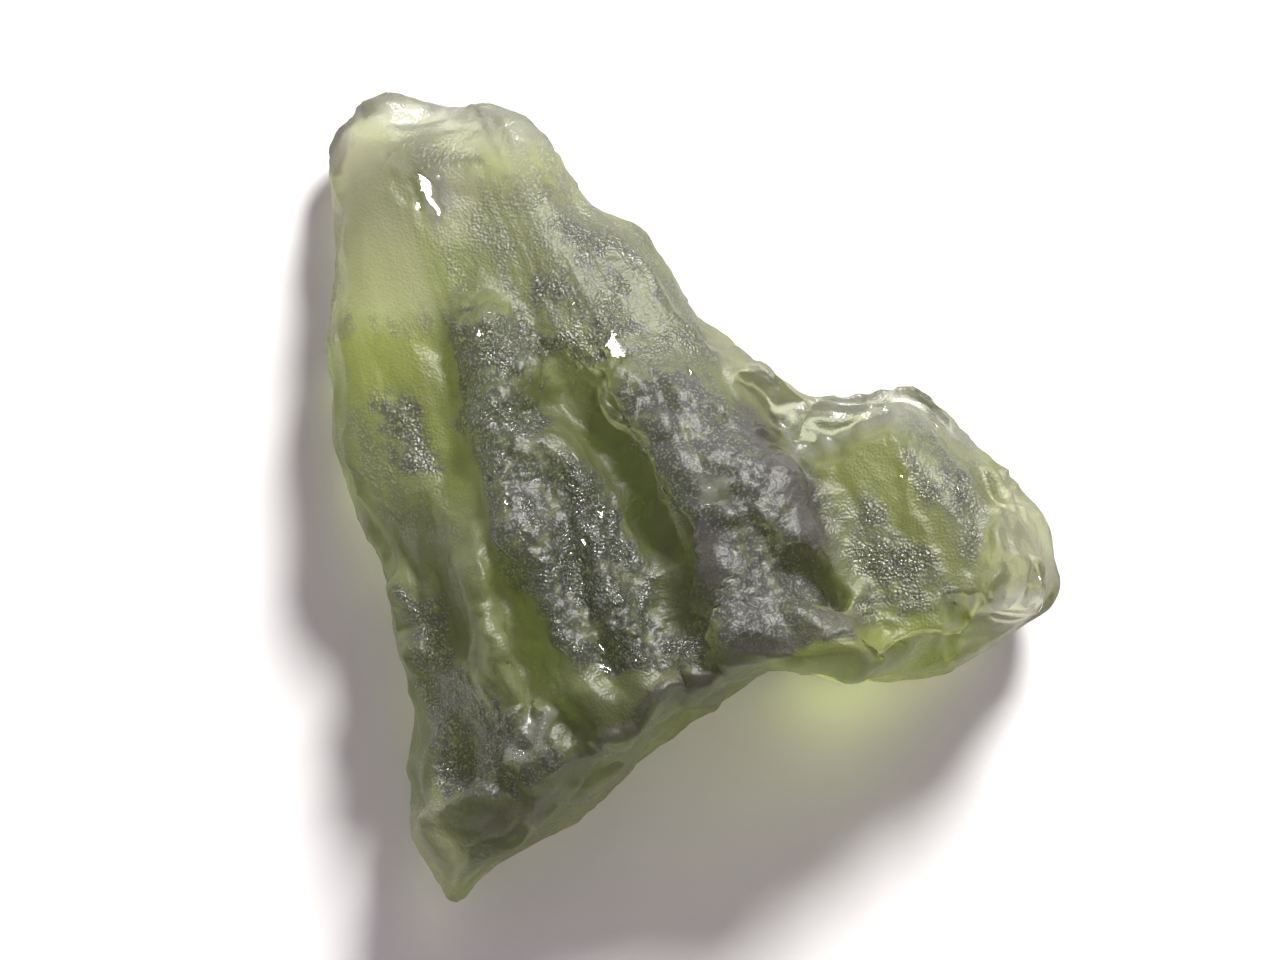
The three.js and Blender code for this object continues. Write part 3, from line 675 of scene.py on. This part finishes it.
def ragged(points):
    """The spots seen from above, shaken so that the drawn lines come out broken and natural."""
    wander = [grain(points, "wander east"), grain(points, "wander north")]
    shiver = [grain(points, "shiver east"), grain(points, "shiver north")]
    return points[:, :2] + WANDER * np.column_stack(wander) + SHIVER * np.column_stack(shiver)


def turn_faces(points, spots, up):
    """Cuts each turned face down to one plane through its middle."""
    for outline, fall, soft in TURNED.values():
        share = patches({"face": (outline, soft)}, spots) * up**2
        middle = np.average(points, axis=0, weights=share)
        level = middle[2] + (points[:, :2] - middle[:2]) @ np.array(fall)
        points[:, 2] += TURNED_SHARE * share * np.minimum(level - points[:, 2], 0)


def step_faces(points, spots, up):
    """Sinks each stepped face and breaks it into narrow treads."""
    wide = {name: (outline, SUNK_SOFT) for name, (outline, _) in STEPPED.items()}
    points[:, 2] *= 1 - SUNK * patches(wide, spots)
    share = STEPPED_SHARE * up * patches(STEPPED, spots)
    level = points[:, :2] @ np.array(CHIP_SLOPE)
    wave = TREAD_WAVE * grain(points, "treads")
    steps = (points[:, 2] - level) / TREAD + wave
    whole = np.floor(steps)
    stepped = level + TREAD * (whole + ease(*RISER, steps - whole) - wave)
    points[:, 2] += share * (stepped - points[:, 2])


def pinch_tip(points):
    """Draws the foot of the stone in to a point."""
    share = TIP_SHARE * ease(TIP_FROM, TIP_TO, points[:, 1])
    points[:, 0] += share * (TIP_EAST - points[:, 0])


def strike_chips(points, up):
    """Flattens small ragged facets that fall towards the north, and returns where they are."""
    gloss = np.zeros(len(points))
    wobble = 1 + CHIP_RAGGED * grain(points, "chip edges")
    for east, north, radius in CHIPS:
        offset = points[:, :2] - (east, north)
        away = np.hypot(*(np.array(CHIP_OVAL) @ offset.T)) * wobble
        share = ease(*(radius * np.array(CHIP_EDGE)), away) * up
        near = share > 0
        if not near.any():
            continue
        middle = np.average(points[near, 2], weights=share[near])
        level = middle + offset @ np.array(CHIP_SLOPE)
        points[:, 2] += share * (level - points[:, 2])
        gloss = np.maximum(gloss, share)
    return gloss


def soothe(mesh):
    """Smooths the stepped faces and the lobe's end, so that no crumbs stand on their rims."""
    spots = read(mesh.vertices, "co")[:, :2] / MM
    share = patches({**STEPPED, **SOOTHED}, spots)
    bm = bmesh.new()
    bm.from_mesh(mesh)
    soothed = [vert for vert, part in zip(bm.verts, share) if part > SOOTHED_FROM]
    for _ in range(SOOTHED_ROUNDS):
        smooth(bm, soothed, SOOTHED_SHARE)
    bm.to_mesh(mesh)
    bm.free()
    mesh.update()


def fit_box(mesh):
    """Scales the worked stone back to the box of the solid, and returns its points."""
    points = read(mesh.vertices, "co") / MM
    low, high = (np.array(corner) / MM for corner in cad_box)
    lowest, highest = points.min(axis=0), points.max(axis=0)
    points = low + (points - lowest) * (high - low) / (highest - lowest)
    mesh.vertices.foreach_set("co", (points * MM).ravel())
    mesh.update()
    return points


# ---------------------------------------------------------------- finish, painted light and shade, and relief

# The kinds of finish and painted shade that the walls of the stone don't have, and the share of the
# white, partly painted light, that they keep.
ONLY_ON_TOP = ("matt", "pitted", "thinly pitted", "deep", "flat", "windows")
WHITE_ON_WALLS = 0.4

# How lumpy the matt and thinly pitted places are, how filmed the thinly filmed places are, how much
# film lies everywhere and how much more on the walls, and how much painted shade the windows take.
LUMPS_IN_MATT = 0.4
THIN_FILM = 0.6
LEAST_FILM = 0.12
WALL_FILM = 0.4
WINDOWS_SHADE = 0.35

# Which finish, painted light included, gives way to which, and by what share.
GIVES_WAY = (
    ("film", "white", 1.0),
    ("film", "pale_lit", 0.7),
    ("film", "golden", 0.6),
    ("film", "windows", 0.8),
    ("pale_lit", "windows", 0.7),
    ("thinly pitted", "windows", 1.0),
)

# How much of each kind of relief the kinds of finish and the painted pale light take away.
CALMED = {
    "drawn relief": {"flat": 0.6},
    "wide flutes": {"flat": 0.8},
    "all flutes": {"lumpy": 0.5},
    "cups": {"pale_lit": 0.6, "flat": 0.7},
    "lumps": {"flat": 0.6, "pale_lit": 0.5},
    "knobs": {"pale_lit": 0.6},
    "crumbs": {"flat": 0.5},
}

# How much the drawn relief varies from place to place.
DRAWN_VARIES = 0.5

# How high the natural relief is, and how much higher on film, in rough places and on the walls.
FLUTES_HIGH = 0.06
FINE_FLUTES_HIGH, FINE_FLUTES_ON_FILM = 0.006, 0.014
CUPS_HIGH = 0.12
LUMPS_HIGH, LUMPS_ON_WALLS = 0.06, 0.06
KNOBS_ON_WALLS = 0.06
CRUMBS_HIGH, CRUMBS_ON_FILM, CRUMBS_IN_ROUGH = 0.008, 0.012, 0.025

# How strong the cups are everywhere, on white and on walls; how strong they are on average, how
# much that varies, and the least and the most of it.
LEAST_CUPS, CUPS_ON_WHITE, CUPS_ON_WALLS = 0.12, 0.3, 0.2
CUPS_AVERAGE, CUPS_VARY, CUPS_LIMITS = 0.8, 1.4, (0.2, 1.6)

# How the frost is broken up: its share in the thinly pitted places, what it gains, how much mottle
# and specks count, and between which covers this sets in. The film has streaks too, and loses some.
FINE_MOTTLE = 0.5
THIN_FROST = 0.3
FROST_GAIN, FROST_MOTTLE, FROST_SPECKS, FROST_EDGE = 0.15, 0.7, 0.9, (0.05, 0.4)
FILM_STREAKS, FILM_MOTTLE, FILM_SPECKS, FILM_EDGE = 1.3, 1.1, 0.8, (0.0, 0.5)
FILM_LOSS = 0.1

# The pits stand in clusters: how thick they are on average, how much the mottle counts, and their
# share in the thinly pitted places.
CLUSTERS, CLUSTERS_MOTTLE, THIN_PITS = 0.35, 2.2, 0.7


def finish_and_light_masks(spots, up):
    """How much of each finish, painted light and painted shade lies on each spot, from 0 to 1."""
    on = {name: patches(table, spots) for name, table in FINISH_AND_LIGHT_TABLES.items()}
    for name in ONLY_ON_TOP:
        on[name] *= up
    on["white"] *= WHITE_ON_WALLS + (1 - WHITE_ON_WALLS) * up
    matt = np.maximum(on["matt"], on["thinly pitted"])
    on["lumpy"] = np.maximum(on["pitted"], LUMPS_IN_MATT * matt)
    on["film"] = np.maximum(on["film"], THIN_FILM * on["thin film"])
    on["film"] = np.maximum(on["film"], LEAST_FILM + WALL_FILM * (1 - up))
    # The windows take some of the painted shade.
    on["deep"] = np.maximum(on["deep"], WINDOWS_SHADE * on["windows"])
    for name, over, share in GIVES_WAY:
        on[name] *= 1 - share * on[over]
    return on


def calmed(name, on):
    """How much of a kind of relief the kinds of finish and the painted pale light leave."""
    left = 1.0
    for finish, share in CALMED[name].items():
        left = left * (1 - share * on[finish])
    return left


def drawn_relief(points, spots, up, on):
    """The ledges and folds."""
    rise = np.zeros(len(points))
    for path, height, edge, reach in LEDGES.values():
        away, side, past = nearest_on(path, spots)
        fade = np.exp(-((away / reach) ** 2)) * np.exp(-past / edge)
        rise += height / 2 * np.tanh(side / edge) * fade
    for path, height, width in FOLDS.values():
        away = nearest_on(path, spots)[0]
        rise += height * np.exp(-((away / width) ** 2))
    varied = 1 + DRAWN_VARIES * grain(points, "drawn relief")
    return rise * up * calmed("drawn relief", on) * varied


def natural_relief(points, up, on):
    """The flutes, cups, lumps, knobs and crumbs that etching left in the glass."""
    wall = 1 - up
    wide = FLUTES_HIGH * calmed("wide flutes", on) * (0.5 - np.abs(streaks(points, "flutes")))
    fine = FINE_FLUTES_HIGH + FINE_FLUTES_ON_FILM * on["film"]
    rise = (wide + fine * streaks(points, "fine flutes")) * up * calmed("all flutes", on)

    rough = np.maximum(on["lumpy"], CUPS_ON_WHITE * on["white"])
    rough = np.maximum(LEAST_CUPS + (1 - LEAST_CUPS) * rough, CUPS_ON_WALLS * wall)
    rough *= calmed("cups", on)
    rough *= np.clip(CUPS_AVERAGE + CUPS_VARY * grain(points, "thin places"), *CUPS_LIMITS)
    rise += CUPS_HIGH * rough * sum(cups(points, size, seed) for size, seed in CUPS)

    lumps = LUMPS_HIGH + LUMPS_ON_WALLS * wall
    knobs = KNOBS_ON_WALLS * wall
    crumbs = CRUMBS_HIGH + CRUMBS_ON_FILM * on["film"]
    crumbs += CRUMBS_IN_ROUGH * np.maximum(on["lumpy"], wall)
    for name, high in (("lumps", lumps), ("knobs", knobs), ("crumbs", crumbs)):
        rise += high * calmed(name, on) * grain(points, name)
    return rise


def write_masks(mesh, points, on, gloss):
    """Keeps the finish, painted light and painted shade, broken up by grain, as attributes that the
    glass reads.
    """
    mottle = grain(points, "mottle") + FINE_MOTTLE * grain(points, "fine mottle")
    specks = grain(points, "specks")
    frost = np.maximum(np.maximum(on["pitted"], on["matt"]), THIN_FROST * on["thinly pitted"])
    broken = FROST_GAIN + FROST_MOTTLE * mottle + FROST_SPECKS * specks
    frost += broken * ease(*FROST_EDGE, frost)
    film = on["film"]
    broken = FILM_STREAKS * streaks(points, "film") + FILM_MOTTLE * mottle + FILM_SPECKS * specks
    film = film + broken * ease(*FILM_EDGE, film) - FILM_LOSS
    clusters = np.clip(CLUSTERS + CLUSTERS_MOTTLE * mottle, 0, 1)
    pitted = np.maximum(on["pitted"], THIN_PITS * on["thinly pitted"]) * clusters
    masks = {"frost": frost, "film": film, "pitted": pitted, "gloss": gloss}
    for name in ("deep", "pale_lit", "white", "edge_shade", "golden"):
        masks[name] = on[name]
    for name, mask in masks.items():
        attribute = mesh.attributes.new(name, "FLOAT", "POINT")
        attribute.data.foreach_set("value", np.clip(mask, 0, 1))


def sculpt(mesh):
    """Works the stone over: its faces, relief, tip and chips, and the masks of its finish and of
    painted light and shade.
    """
    points = read(mesh.vertices, "co") / MM
    normals = read(mesh.vertices, "normal")
    up = ease(*TOP_TO_WORK, normals[:, 2])
    spots = ragged(points)
    on = finish_and_light_masks(spots, up)
    turn_faces(points, spots, up)
    step_faces(points, spots, up)
    rise = drawn_relief(points, spots, up, on) + natural_relief(points, up, on)
    points += normals * rise[:, None]
    pinch_tip(points)
    gloss = strike_chips(points, up)
    mesh.vertices.foreach_set("co", (points * MM).ravel())
    soothe(mesh)
    points = fit_box(mesh)
    write_masks(mesh, points, on, gloss)


# ---------------------------------------------------------------- the glass

CLEAN_COLOUR = (0.77, 0.83, 0.41, 1)
# Painted shade: the darker olive of the deep places.
DEEP_SHADE_COLOUR = (0.40, 0.43, 0.20, 1)
# Painted light: the paler colour of glass that light shines through.
PALE_LIT_COLOUR = (1.0, 1.0, 0.74, 1)
GOLDEN_COLOUR = (0.77, 0.83, 0.29, 1)
# Painted shade: the dark of those lines.
EDGE_SHADE_COLOUR = (0.30, 0.26, 0.32, 1)
# Painted light and frost: the white of glints, inner light and frosting.
WHITE_AND_GLINT_COLOUR = (1.0, 1.0, 1.0, 1)
# The light ends of the film and frost are pale grains and also painted glints.
FILM_DARK = (0.52, 0.53, 0.44, 1)
FILM_LIGHT_AND_GLINT = (1.0, 1.0, 0.98, 1)
FROST_DARK = (0.23, 0.22, 0.34, 1)
FROST_LIGHT_AND_GLINT = (1.0, 1.0, 1.0, 1)

# What lies over the clean glass, from the bottom up: its mask, how much that counts, and its
# colour. Where there are two colours, the salt runs from the first to the second.
# Painted shade in the deep and edge_shade layers; painted light in the pale_lit and white layers,
# partly the glass's own paleness and frost.
LAYERS = (
    ("deep", 1.0, [DEEP_SHADE_COLOUR]),
    ("pale_lit", 1.0, [PALE_LIT_COLOUR]),
    ("golden", 1.0, [GOLDEN_COLOUR]),
    ("film", 0.7, [FILM_DARK, FILM_LIGHT_AND_GLINT]),
    ("frost", 0.88, [FROST_DARK, FROST_LIGHT_AND_GLINT]),
    ("edge_shade", 0.75, [EDGE_SHADE_COLOUR]),
    ("white", 1.0, [WHITE_AND_GLINT_COLOUR]),
)

# The grit is a fine noise. The salt is the grit with its contrast turned up; its light specks are
# pale grains and also painted glints.
GRIT_WIDE = 0.06 * MM
SALT_CONTRAST, SALT_OFFSET = 7.0, -3.8

ROUGHNESS = 0.48
PITTED_ROUGHNESS = -0.36
WHITE_ROUGHNESS = -0.18

# How strongly the grit shows as bumps: everywhere, in the pits and on film.
BUMPS, PITTED_BUMPS, FILM_BUMPS = 0.15, 0.75, 0.15
BUMPS_DEEP = 0.07 * MM

TRANSMISSION = 0.90
IOR = 1.49
ABSORBS = (0.42, 0.47, 0.20, 1)
ABSORBS_PER_METRE = 260


def colours(sockets, name):
    """The colour socket of that name on a Mix node, which has one for each type of value."""
    return next(s for s in sockets if s.name == name and s.type == "RGBA")


class Tree:
    """Short calls that add and join shader nodes."""

    def __init__(self, tree):
        self.tree = tree

    def node(self, kind, links=None, **values):
        made = self.tree.nodes.new("ShaderNode" + kind)
        for name, value in values.items():
            setattr(made, name, value)
        for name, value in (links or {}).items():
            self.feed(made.inputs[name], value)
        return made

    def feed(self, socket, value):
        if isinstance(value, bpy.types.NodeSocket):
            self.tree.links.new(value, socket)
        else:
            socket.default_value = value

    def math(self, operation, a, b, c=0.0, clamp=False):
        made = self.node("Math", operation=operation, use_clamp=clamp)
        for socket, value in zip(made.inputs, (a, b, c)):
            self.feed(socket, value)
        return made.outputs[0]

    def mix(self, share, a, b):
        made = self.node("Mix", data_type="RGBA")
        self.feed(made.inputs["Factor"], share)
        self.feed(colours(made.inputs, "A"), a)
        self.feed(colours(made.inputs, "B"), b)
        return colours(made.outputs, "Result")

    def mask(self, name):
        return self.node("Attribute", attribute_name=name).outputs["Fac"]

    def noise(self, size):
        """Plain noise from 0 to 1 with lumps about size wide."""
        place = self.node("TexCoord").outputs["Object"]
        links = {"Vector": place, "Scale": 1 / size, "Detail": 0.0}
        return self.node("TexNoise", links).outputs["Fac"]


def moldavite_glass():
    material = bpy.data.materials.new("moldavite glass")
    material.use_nodes = True
    t = Tree(material.node_tree)
    shader = material.node_tree.nodes["Principled BSDF"]
    output = material.node_tree.nodes["Material Output"]
    grit = t.noise(GRIT_WIDE)
    salt_and_glints = t.math("MULTIPLY_ADD", grit, SALT_CONTRAST, SALT_OFFSET, clamp=True)
    film, pitted, white = t.mask("film"), t.mask("pitted"), t.mask("white")
    matt = t.math("SUBTRACT", 1.0, t.mask("gloss"))

    colour = CLEAN_COLOUR
    for name, counts, shades in LAYERS:
        shade = t.mix(salt_and_glints, *shades) if len(shades) == 2 else shades[0]
        colour = t.mix(t.math("MULTIPLY", t.mask(name), counts), colour, shade)
    t.feed(shader.inputs["Base Color"], colour)

    roughness = t.math("MULTIPLY_ADD", pitted, PITTED_ROUGHNESS, ROUGHNESS)
    roughness = t.math("MULTIPLY_ADD", white, WHITE_ROUGHNESS, roughness)
    t.feed(shader.inputs["Roughness"], t.math("MULTIPLY", roughness, matt))
    t.feed(shader.inputs["IOR"], IOR)
    t.feed(shader.inputs["Transmission Weight"], TRANSMISSION)

    height = t.math("MULTIPLY_ADD", pitted, PITTED_BUMPS, BUMPS)
    height = t.math("MULTIPLY_ADD", film, FILM_BUMPS, height)
    height = t.math("MULTIPLY", t.math("MULTIPLY", grit, height), matt)
    bump = t.node("Bump", {"Height": height, "Distance": BUMPS_DEEP, "Strength": 1.0})
    t.feed(shader.inputs["Normal"], bump.outputs["Normal"])

    depth = t.node("VolumeAbsorption", {"Color": ABSORBS, "Density": ABSORBS_PER_METRE})
    t.feed(output.inputs["Volume"], depth.outputs["Volume"])
    return material


def make_stone():
    mesh = finer(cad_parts["moldavite"].data)
    sculpt(mesh)
    mesh.materials.append(moldavite_glass())
    stone = put("stone", mesh)
    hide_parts("moldavite")
    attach(stone, "root")


set_camera()
set_light()
set_floor()
make_stone()
